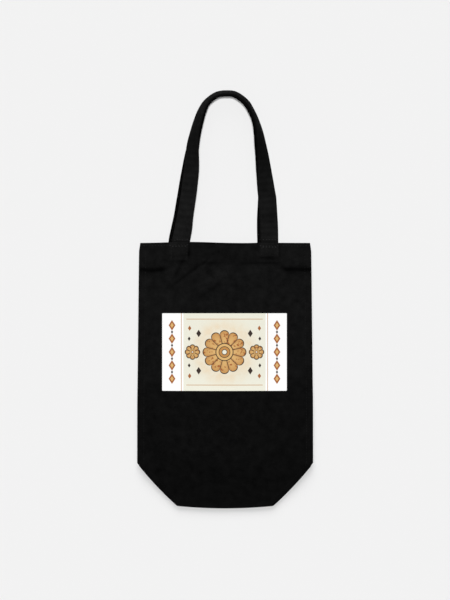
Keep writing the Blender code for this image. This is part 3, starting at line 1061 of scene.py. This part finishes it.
@dataclass
class HemBand:
    """The inner fold of the hem: a band round the inside of the mouth with rolled edges."""

    bag: FoldedBag
    cloth: float = 1.0
    drop: float = 0.9
    rows: int = 14

    def _loops(self, ups: Array, inset: float) -> Array:
        """Lay closed loops round the inside of the bag.

        Args:
            ups: Their heights up the plan.
            inset: How far in from the bag's outer face.

        Returns:
            Their points.
        """
        bag = self.bag
        across, up = np.meshgrid(bag.plan_lines()[0], ups)
        front = bag.place(Layer.FRONT, across, up, inset)
        back = bag.place(Layer.BACK, across, up, inset)
        right = np.array([1.0, 0.0, 0.0])
        bulge = bag.fold_radius - inset
        east = fold_rows(front[:, -1], back[:, -1], right, bulge, bag.side_cells)
        west = fold_rows(back[:, 0], front[:, 0], -right, bulge, bag.side_cells)
        parts = [front, east.transpose(1, 0, 2), back[:, ::-1], west.transpose(1, 0, 2)]
        return np.concatenate(parts, axis=1)

    def build(self) -> bpy.types.Object:
        """Make the piece.

        Returns:
            The new object.
        """
        bag = self.bag
        surface = Surface()
        start = bag.cloth + bag.seam_gap
        ups = np.linspace(bag.fold_height - bag.hem_depth, bag.fold_height - self.drop, self.rows + 1)
        places = [self._loops(ups, inset) for inset in (start, start + self.cloth)]
        outer, inner = (surface.add(loops) for loops in places)
        for loops in (outer, inner):
            surface.cells(loops, closed=True)
        for row, sign in ((0, -1.0), (-1, 1.0)):
            out = np.array([0.0, sign, 0.0])
            lip = surface.add(fold_rows(places[0][row], places[1][row], out, 0.45 * self.cloth, 4))
            surface.cells(np.concatenate([outer[row][None], lip, inner[row][None]]), closed=True)
        return surface.build("hem_fold")


@dataclass(frozen=True)
class Stitch:
    """One stitch of thread: a short spindle whose two ends dip into the cloth."""

    half_length: float = 1.05
    radius: float = 0.24
    dip: float = 0.30
    sides: int = 6

    def template(self) -> tuple[Array, Array, Array]:
        """Lay out one stitch: three rings of points and a pole at each end.

        Returns:
            Points (along, aside, up), quads and triangles.
        """
        sides = self.sides
        stations = np.array([-0.72, 0.0, 0.72])
        girth = np.array([0.72, 1.0, 0.72])[:, None] * self.radius
        turn = 2.0 * np.pi * np.arange(sides) / sides
        along = np.repeat(stations[:, None] * self.half_length, sides, axis=1)
        up = girth * np.sin(turn) - self.dip * stations[:, None] ** 2
        rings = np.stack([along, girth * np.cos(turn), up], axis=-1).reshape(-1, 3)
        poles = np.array([[-self.half_length, 0.0, -self.dip], [self.half_length, 0.0, -self.dip]])
        ring = np.arange(sides)
        after = (ring + 1) % sides
        band = np.stack([ring, after, sides + after, sides + ring], axis=-1)
        first = np.stack([np.full(sides, 3 * sides), after, ring], axis=-1)
        last = np.stack([np.full(sides, 3 * sides + 1), 2 * sides + ring, 2 * sides + after], axis=-1)
        points = np.concatenate([rings, poles])
        return points, np.concatenate([band, band + sides]), np.concatenate([first, last])

    def sew(self, surface: Surface, middles: Array, along: Array, up: Array, painted_highlight: float) -> None:
        """Add a stitch at each of some places.

        Args:
            surface: What the stitches are added to.
            middles: Their middles.
            along: Their directions.
            up: Directions out of the cloth.
            painted_highlight: How much painted highlight makes their thread pale, from 0 to 1.
        """
        points, quads, tris = self.template()
        along = along / np.linalg.norm(along, axis=-1, keepdims=True)
        aside = np.cross(up, along)
        aside = aside / np.linalg.norm(aside, axis=-1, keepdims=True)
        frames = np.stack([along, aside, np.cross(along, aside)], axis=1)
        placed = middles[:, None] + np.einsum("pk,nkx->npx", points, frames)
        start = surface.add(placed, np.array([painted_highlight, 0.0, 0.0]))[:, :1, None]
        surface.faces((start + quads).reshape(-1, 4))
        surface.faces((start + tris).reshape(-1, 3))


def along_path(points: Array, spacing: float) -> tuple[Array, Array]:
    """Find evenly spaced places on a path.

    Args:
        points: The path's points.
        spacing: Distance between places.

    Returns:
        The places, and the path's directions there.
    """
    step = np.linalg.norm(np.diff(points, axis=0), axis=1)
    length = np.concatenate([[0.0], np.cumsum(step)])
    count = max(int(length[-1] / spacing), 1)
    middle = (np.arange(count) + 0.5) * length[-1] / count
    behind, places, ahead = (
        np.stack([np.interp(middle + lead * spacing, length, column) for column in points.T], axis=-1)
        for lead in (-0.3, 0.0, 0.3)
    )
    return places, ahead - behind


@dataclass
class BodyStitching:
    """The rows of thread on the bag's front: rim, hem, sides, slanted corners and strap ends."""

    bag: FoldedBag
    stitch: Stitch = field(default_factory=Stitch)
    spacing: float = 2.9
    rim_gap: float = 35.0
    strap_inset: float = 1.8
    corner_inset: float = 2.6

    def _line(self, surface: Surface, x: Array, drop: Array | float, painted_highlight: float) -> None:
        """Sew along a line on the front.

        Args:
            surface: What the stitches are added to.
            x: The line's distances from the centre line.
            drop: Its distances from the rim.
            painted_highlight: How much painted highlight makes the thread pale, from 0 to 1.
        """
        bag = self.bag
        up = bag.fold_height - np.broadcast_to(drop, x.shape)
        places, along = along_path(bag.place(Layer.FRONT, x / bag.width_share(up), up, 0.0), self.spacing)
        self.stitch.sew(surface, places, along, np.broadcast_to([0.0, 0.0, 1.0], places.shape), painted_highlight)

    def build(self) -> bpy.types.Object:
        """Make the piece.

        Returns:
            The new object.
        """
        bag = self.bag
        surface = Surface()
        half = 0.5 * bag.fold_width * bag.width_share(bag.fold_height)
        x = np.linspace(-half, half, 400)
        middle = np.abs(x) < self.rim_gap - 1.0
        # Each row's number is how much painted highlight pales its thread.
        for part, painted_highlight in ((x < -self.rim_gap, 0.9), (x > self.rim_gap, 0.9), (middle, 0.1)):
            self._line(surface, x[part], bag.rim_drop, painted_highlight)
        self._line(surface, x, bag.hem_line(x), 0.0)
        for end in STRAP_ENDS:
            inner = end.half - self.strap_inset
            top = bag.rim_drop + 1.3
            across = np.linspace(end.x - inner, end.x + inner, 20)
            down = np.linspace(top, end.length - 2.0, 20)
            self._line(surface, across, top, 1.0)
            self._line(surface, across, end.length - 2.0, 0.1)
            for side in (end.x - inner, end.x + inner):
                self._line(surface, np.full_like(down, side), down, 0.25)
        drop = np.linspace(1.0, bag.fold_height - 0.5 * bag.base_depth, 500)
        width = 0.5 * bag.fold_width * bag.width_share(bag.fold_height - drop)
        for sign in (-1.0, 1.0):
            for inset, painted_highlight in ((1.4, 0.1), (4.3, 0.3)):
                self._line(surface, sign * (width - inset), drop, painted_highlight)
        slant = np.linspace(0.02, 0.98, 100) * 0.5 * bag.base_depth
        inset = self.corner_inset * np.sqrt(0.5)
        for sign in (-1.0, 1.0):
            side = sign * (0.5 * bag.fold_base + slant - inset)
            self._line(surface, side, bag.fold_height - slant - inset, 0.1)
        return surface.build("body_stitching")


@dataclass
class Handle:
    """A strap sewn inside the mouth, lying flat at its legs and standing on edge at its arch.

    Each row of the table holds a place of its outer edge as shares of half the span and of the
    rise, its turn in degrees, how far one strap leads the other, and how much shade is painted on it there.
    """

    bag: FoldedBag
    side: Side
    width: float = 19.0
    thickness: float = 1.8
    span: float = 111.8
    tuck: float = 20.0
    gap: float = 0.5
    shift: float = 4.5
    floor_gap: float = 0.1
    lands: float = 0.25
    curl: float = 0.6
    rib_pitch: float = 6.8
    rib_height: float = 0.10
    groove_depth: float = 0.14
    groove_place: float = 0.12
    sections: int = 320
    face_cells: int = 14
    edge_cells: int = 5
    rows: tuple[tuple[float, ...], ...] = (
        (-1.068, 0.000, 0.0, 0.81, 0.08),
        (-1.029, 0.096, 12.0, 0.96, 0.04),
        (-0.991, 0.175, 24.0, 1.06, 0.10),
        (-0.957, 0.253, 28.0, 1.19, 0.00),
        (-0.919, 0.332, 29.0, 1.16, 0.10),
        (-0.882, 0.411, 30.0, 1.04, 0.15),
        (-0.843, 0.490, 34.0, 0.98, 0.25),
        (-0.803, 0.568, 40.0, 0.73, 0.38),
        (-0.750, 0.647, 49.0, 0.40, 0.46),
        (-0.676, 0.726, 59.0, 0.13, 0.48),
        (-0.601, 0.804, 64.5, 0.00, 0.42),
        (-0.524, 0.870, 69.0, 0.00, 0.25),
        (-0.400, 0.935, 74.2, 0.00, 0.30),
        (-0.187, 0.988, 75.2, 0.00, 0.25),
        (0.042, 1.000, 75.2, 0.00, 0.30),
        (0.236, 0.988, 75.0, 0.00, 0.45),
        (0.443, 0.935, 75.0, 0.00, 0.75),
        (0.560, 0.870, 76.5, 0.00, 0.70),
        (0.647, 0.804, 75.0, 0.00, 0.55),
        (0.726, 0.726, 67.0, 0.00, 0.66),
        (0.782, 0.647, 58.0, 0.00, 0.72),
        (0.832, 0.568, 50.0, 0.00, 0.62),
        (0.873, 0.490, 41.0, 0.00, 0.48),
        (0.918, 0.411, 29.0, 0.09, 0.32),
        (0.955, 0.332, 14.0, 0.10, 0.25),
        (0.973, 0.253, 7.0, -0.22, 0.12),
        (0.986, 0.175, 5.0, -0.53, 0.42),
        (0.996, 0.100, 2.0, -0.71, 0.20),
        (1.000, 0.000, 0.0, -0.71, 0.25),
    )

    def __post_init__(self) -> None:
        """Read the rim's place and the handles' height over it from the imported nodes."""
        self.rim = self.bag.high[1]
        self.rise = packed_box("handle_front")[1][1] - self.rim

    def _smooth(self, points: Array) -> Array:
        """Draw a Catmull-Rom curve through some points.

        Args:
            points: The points, with more numbers after their two coordinates.

        Returns:
            Evenly spaced points on the curve.
        """
        before, after = 2.0 * points[:1] - points[1:2], 2.0 * points[-1:] - points[-2:-1]
        ends = np.concatenate([before, points, after])
        share = np.linspace(0.0, 1.0, 24, endpoint=False)[None, :, None]
        p0, p1, p2, p3 = (ends[k:len(ends) - 3 + k, None] for k in range(4))
        cubic = 3.0 * (p1 - p2) + p3 - p0
        square = 2.0 * p0 - 5.0 * p1 + 4.0 * p2 - p3
        curve = p1 + 0.5 * share * (p2 - p0 + share * (square + share * cubic))
        curve = np.concatenate([curve.reshape(-1, points.shape[1]), points[-1:]])
        along = self._lengths(curve)
        even = np.linspace(0.0, along[-1], self.sections + 1)
        return np.stack([np.interp(even, along, column) for column in curve.T], axis=-1)

    def _lengths(self, path: Array) -> Array:
        """Length along a path, seen from above, at each of its points."""
        step = np.linalg.norm(np.diff(path[:, :2], axis=0), axis=1)
        return np.concatenate([[0.0], np.cumsum(step)])

    def _frame(self) -> tuple[Array, ...]:
        """Carry the strap along its path.

        Returns:
            Edge line, breadth and face directions, length along the strap, and its painted shade.
        """
        arch = np.array(self.rows)
        arch[:, 0] *= 0.5 * self.span
        arch[:, 1] = self.rim + arch[:, 1] * self.rise
        ends = arch[[0, -1]]
        ends[:, 1] -= self.tuck
        path = self._smooth(np.concatenate([ends[:1], arch, ends[1:]]))
        tangent = np.gradient(path[:, :2], axis=0)
        tangent = tangent / np.linalg.norm(tangent, axis=1, keepdims=True)
        flat = np.zeros(len(path))
        inward = np.stack([tangent[:, 1], -tangent[:, 0], flat], axis=-1)
        up = np.stack([flat, flat, flat + 1.0], axis=-1)
        turn = np.radians(path[:, 2:3])
        breadth = inward * np.cos(turn) + up * np.sin(turn)
        face = up * np.cos(turn) - inward * np.sin(turn)
        spacing = self.thickness + self.gap
        back = self.side is Side.BACK
        stacked = 0.0 if back else spacing
        rest = self.floor_gap + (0.5 * self.thickness + stacked) * np.cos(turn)
        edge = np.concatenate([path[:, :2], rest], axis=1)
        edge = edge + inward * np.sin(turn) * (0.5 * self.thickness + spacing - stacked)
        lead = path[:, 3:4] * (-self.shift if back else self.shift)
        edge = edge + breadth * np.maximum(lead, 0.0)
        return edge, breadth, face, self._lengths(path), path[:, 4]

    def _mouth_level(self, points: Array) -> Array:
        """Find where a strap's middle lies against the hem on its own side.

        Args:
            points: Points of the strap.

        Returns:
            Heights, held level beyond the rim.
        """
        bag = self.bag
        up = np.minimum(points[..., 1] - bag.y_fold, bag.fold_height)
        depth = 2.0 * bag.cloth + 2.0 * bag.seam_gap + 0.5 * self.thickness
        layer = Layer.BACK if self.side is Side.BACK else Layer.FRONT
        return bag.height(layer, points[..., 0] / bag.width_share(up), up, depth)

    def place(self, share: Array, off: Array) -> tuple[Array, Array, Array]:
        """Work out points of the strap.

        Ribs are a sine wave along it and half a wave across, the grooves are bells, and the curl
        lifts its middle by half a wave where it stands on edge.

        Args:
            share: Places across the strap, from 0 at its outer edge to 1.
            off: Heights over the strap's middle, as shares of half its thickness.

        Returns:
            Points, face directions and marks (along, across, painted shade) for each section.
        """
        edge, breadth, face, along, painted_shade = self._frame()
        middle = edge[:, None] + breadth[:, None] * (share * self.width)[None, :, None]
        past_rim = middle[..., 1] - self.rim
        beyond = past_rim / self.rise
        leaving = 1.0 - ramp(beyond, 0.0, self.lands)
        middle[..., 2] += (self._mouth_level(middle) - edge[:1, 2]) * leaving
        arc = np.sin(np.pi * share)
        ribs = self.rib_height * np.sin(2.0 * np.pi * along / self.rib_pitch)[:, None] * arc
        groove = sum(bell(share, where, 0.035) for where in (self.groove_place, 1.0 - self.groove_place))
        curl = self.curl * (arc - 0.6) * breadth[:, 2:] * (1.0 - leaving)
        height = off * (0.5 * self.thickness - self.groove_depth * groove) + ribs + curl
        points = middle + face[:, None] * height[..., None]
        # Painted shade from the table's last column.
        shade = np.broadcast_to(painted_shade[:, None], height.shape)
        # The back strap gets a near-black painted shade, as if in the front strap's shadow, a little
        # lighter at the arch.
        if self.side is Side.BACK:
            shade = np.maximum(shade, 0.93 - 0.15 * ramp(beyond, 0.6, 0.25))
        # Painted shadow of the front's rim across the strap.
        shade = np.maximum(shade, 0.6 * bell(past_rim, 0.2, 0.9))
        marks = np.stack(np.broadcast_arrays(along[:, None], share * self.width, shade), axis=-1)
        return points, np.broadcast_to(face[:, None], points.shape), marks

    def build(self) -> bpy.types.Object:
        """Make the strap, a rounded flat section carried along its path.

        Returns:
            The new object.
        """
        face = np.linspace(0.05, 0.95, self.face_cells + 1)
        turn = np.pi * np.arange(1, self.edge_cells) / self.edge_cells
        rim = 0.05 * np.sin(turn)
        share = np.concatenate([face, 0.95 + rim, face[::-1], 0.05 - rim])
        flat = np.ones_like(face)
        off = np.concatenate([flat, np.cos(turn), -flat, -np.cos(turn)])
        points, _, marks = self.place(share, off)
        surface = Surface()
        numbers = surface.add(points, marks)
        surface.cells(numbers, closed=True)
        for row in (0, -1):
            hub = surface.add(points[row].mean(axis=0, keepdims=True), marks[row][:1])
            ring = numbers[row]
            surface.faces(np.stack([ring, np.roll(ring, -1), np.full_like(ring, hub[0])], axis=-1))
        return surface.build(f"strap_{self.side.value}")

    def stitching(self) -> bpy.types.Object:
        """Make the two rows of edge stitching and a cross row at each foot, on the outer face.

        Returns:
            The new object.
        """
        surface = Surface()
        stitch = Stitch(half_length=1.0, radius=0.2, dip=0.25)
        for place in (self.groove_place, 1.0 - self.groove_place):
            points, faces, _ = self.place(np.array([place]), np.array([1.0]))
            visible = points[:, 0, 1] > self.rim - 0.5 * self.tuck
            path = points[visible, 0]
            places, along = along_path(path, 2.8)
            index = np.linspace(0, len(path) - 1, len(places)).astype(int)
            stitch.sew(surface, places, along, faces[visible, 0][index], 0.2)
        columns = np.arange(9)
        points, _, _ = self.place(np.linspace(0.1, 0.9, len(columns)), np.ones(len(columns)))
        beyond = points[..., 1] > self.rim + 1.8
        for index in (beyond.argmax(axis=0), len(points) - 1 - beyond[::-1].argmax(axis=0)):
            places, along = along_path(points[index, columns], 2.6)
            stitch.sew(surface, places, along, np.broadcast_to([0.0, 0.0, 1.0], places.shape), 0.8)
        return surface.build(f"strap_{self.side.value}_stitching")


@dataclass
class PrintedPanel:
    """The thin printed panel, which follows the front and has rounded corners."""

    bag: FoldedBag
    thickness: float = 0.4
    corner: float = 0.5
    share: float = 0.99
    shift: tuple[float, float] = (-0.7, 0.3)
    cells: tuple[int, int] = (110, 68)

    def __post_init__(self) -> None:
        """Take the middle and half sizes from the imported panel, moved by the photo's slight shift."""
        low, high = packed_box("print_panel")
        self.middle = 0.5 * (low + high)[:2] + self.shift
        self.half = 0.5 * self.share * (high - low)[:2]

    def build(self) -> bpy.types.Object:
        """Make the piece: its corner points are drawn in onto quarter circles.

        Returns:
            The new object.
        """
        bag = self.bag
        half = self.half
        x, y = np.meshgrid(*(np.linspace(-end, end, n + 1) for end, n in zip(half, self.cells)))
        east = np.maximum(np.abs(x) - half[0] + self.corner, 0.0)
        north = np.maximum(np.abs(y) - half[1] + self.corner, 0.0)
        shrink = np.maximum(east, north) / np.maximum(np.hypot(east, north), 1e-6)
        shrink = np.where((east > 0.0) & (north > 0.0), shrink, 1.0)
        x = np.sign(x) * (np.abs(x) - east * (1.0 - shrink)) + self.middle[0]
        y = np.sign(y) * (np.abs(y) - north * (1.0 - shrink)) + self.middle[1] - bag.y_fold
        surface = Surface()
        across = x / bag.width_share(y)
        rims = []
        for rise in (0.25, bag.seam_gap + self.thickness):
            grid = surface.add(bag.place(Layer.FRONT, across, y, -rise))
            surface.cells(grid)
            rims.append(np.concatenate([grid[0, :-1], grid[:-1, -1], grid[-1, :0:-1], grid[:0:-1, 0]]))
        surface.cells(np.stack(rims), closed=True)
        piece = surface.build("printed_panel")
        piece.data.set_sharp_from_angle(angle=np.radians(40.0))
        return piece


@dataclass
class Studio:
    """A plain pale floor, soft light from beyond the handles, and a camera looking straight down.

    The photograph is taken to be 450 by 600 pixels. A light's share is the floor's brightness from
    it, where 1 is white; its lean, left and angle are in degrees.
    """

    millimetre_per_pixel: float = 1.0515
    frame_height: float = 600.0
    centre_x: float = -0.16
    centre_y: float = -1.0
    subject_height: float = 4.0
    lens: float = 120.0
    sensor: float = 36.0
    top_share: float = 0.745
    side_share: float = 0.32
    world_share: float = 0.045
    top_angle: float = 5.0
    side_lean: float = 55.0
    side_left: float = 3.0
    side_angle: float = 38.0
    shading: tuple[str, ...] = ("bag_cloth", "printed_panel")

    def build(self) -> None:
        """Make the floor, the lights and the camera."""
        self._floor()
        self._lights()
        self._camera()

    def _floor(self) -> None:
        """Make a wide pale floor just under the bag."""
        bpy.ops.mesh.primitive_plane_add(size=16.0, location=(0.0, 0.0, -0.05 * MM))
        floor = bpy.context.object
        floor.name = "studio_floor"
        nodes = Nodes("studio_paper")
        grain = nodes.noise(nodes.place(), 400.0, 2.0)
        nodes.dress(nodes.mix(grain * 0.02, grey(0.802), grey(0.762)), 0.9, 0.0)
        floor.data.materials.append(nodes.material)

    def _lights(self) -> None:
        """Make an even pale surround, a sun overhead and a wide soft one from beyond the handles.

        The photograph's handles hardly shade the floor, so the wide sun's shadow is the bag's alone.
        """
        world = bpy.data.worlds.new("studio_surround")
        world.use_nodes = True
        background = world.node_tree.nodes["Background"]
        background.inputs["Color"].default_value = grey(1.0)
        background.inputs["Strength"].default_value = self.world_share
        bpy.context.scene.world = world
        self._sun("overhead_sun", self.top_share, 0.0, 0.0, self.top_angle)
        turned = (self.side_lean, self.side_left, self.side_angle)
        side = self._sun("side_sun", self.side_share, *turned)
        blockers = bpy.data.collections.new("side_sun_blockers")
        for name in self.shading:
            blockers.objects.link(bpy.data.objects[name])
        side.light_linking.blocker_collection = blockers

    def _sun(self, name: str, share: float, lean: float, left: float, angle: float) -> bpy.types.Object:
        """Make a sun.

        Args:
            name: Its name.
            share: The floor's brightness from it.
            lean: How far it stands from straight above.
            left: How far it stands to the left of +Y.
            angle: How wide it is.

        Returns:
            The sun.
        """
        sun = bpy.data.lights.new(name, "SUN")
        sun.energy = share * np.pi / np.cos(np.radians(lean))
        sun.angle = np.radians(angle)
        lamp = bpy.data.objects.new(name, sun)
        lamp.rotation_euler = (np.radians(-lean), 0.0, np.radians(left))
        bpy.context.collection.objects.link(lamp)
        return lamp

    def _camera(self) -> None:
        """Make a long lens straight above, whose frame covers the photograph's share of the floor."""
        camera = bpy.data.cameras.new("photo_camera")
        camera.lens = self.lens
        camera.sensor_width = self.sensor
        camera.clip_end = 50.0
        distance = self.frame_height * self.millimetre_per_pixel * self.lens / self.sensor
        holder = bpy.data.objects.new("photo_camera", camera)
        place = (self.centre_x, self.centre_y, distance + self.subject_height)
        holder.location = [MM * number for number in place]
        bpy.context.collection.objects.link(holder)
        bpy.context.scene.camera = holder
        bpy.context.scene.view_settings.view_transform = "Standard"


class GiftBag:
    """The whole bag: builds each piece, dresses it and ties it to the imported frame."""

    def __init__(self, packed: dict[str, bpy.types.Object]) -> None:
        """Work out the fold plan and make the materials.

        Args:
            packed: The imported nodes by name.
        """
        self.packed = packed
        self.bag = FoldedBag()
        self.panel = PrintedPanel(self.bag)
        self.cloth = ClothFinish("black_cloth", 0.0051).make()
        # ribs=0.12 paints the strap's ribs lighter and darker, as painted light and shade.
        self.webbing = ClothFinish("black_strap_cloth", 0.0083, 0.8, blotch=1.0, ribs=0.12).make()
        self.thread = ThreadFinish("black_thread", 0.002, 0.055).make()
        self.print = PrintFinish("flower_print", tuple(self.panel.middle)).make()

    def _finish(
        self, piece: bpy.types.Object, material: bpy.types.Material, node: str | None = None
    ) -> bpy.types.Object:
        """Dress a piece and tie it to the frame.

        Args:
            piece: The new piece.
            material: Its material.
            node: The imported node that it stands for, if there is one.

        Returns:
            The piece.
        """
        piece.data.materials.append(material)
        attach(piece, BODY)
        if node is not None:
            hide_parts(node)
        LOG.info("%s: %d points", piece.name, len(piece.data.vertices))
        return piece

    def build(self) -> None:
        """Build every piece in order, from the cloth to the thread."""
        bag = self.bag
        body = self._finish(BagBody(bag).build(), self.cloth, "body")
        hem = self._finish(HemBand(bag).build(), self.cloth, "hem_band")
        for side, node in ((Side.FRONT, "handle_front"), (Side.BACK, "handle_back")):
            handle = Handle(bag, side)
            self._finish(handle.build(), self.webbing, node)
            self._finish(handle.stitching(), self.thread)
        self._finish(self.panel.build(), self.print, "print_panel")
        self._finish(BodyStitching(bag).build(), self.thread)
        for node in ("side_seam_left", "side_seam_right"):
            self.packed[node].data.materials.clear()
            self.packed[node].data.materials.append(self.cloth)


def main() -> None:
    """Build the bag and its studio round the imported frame."""
    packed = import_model()["nodes"]
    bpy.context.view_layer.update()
    GiftBag(packed).build()
    Studio().build()


if __name__ == "__main__":
    logging.basicConfig(level=logging.INFO)
    main()
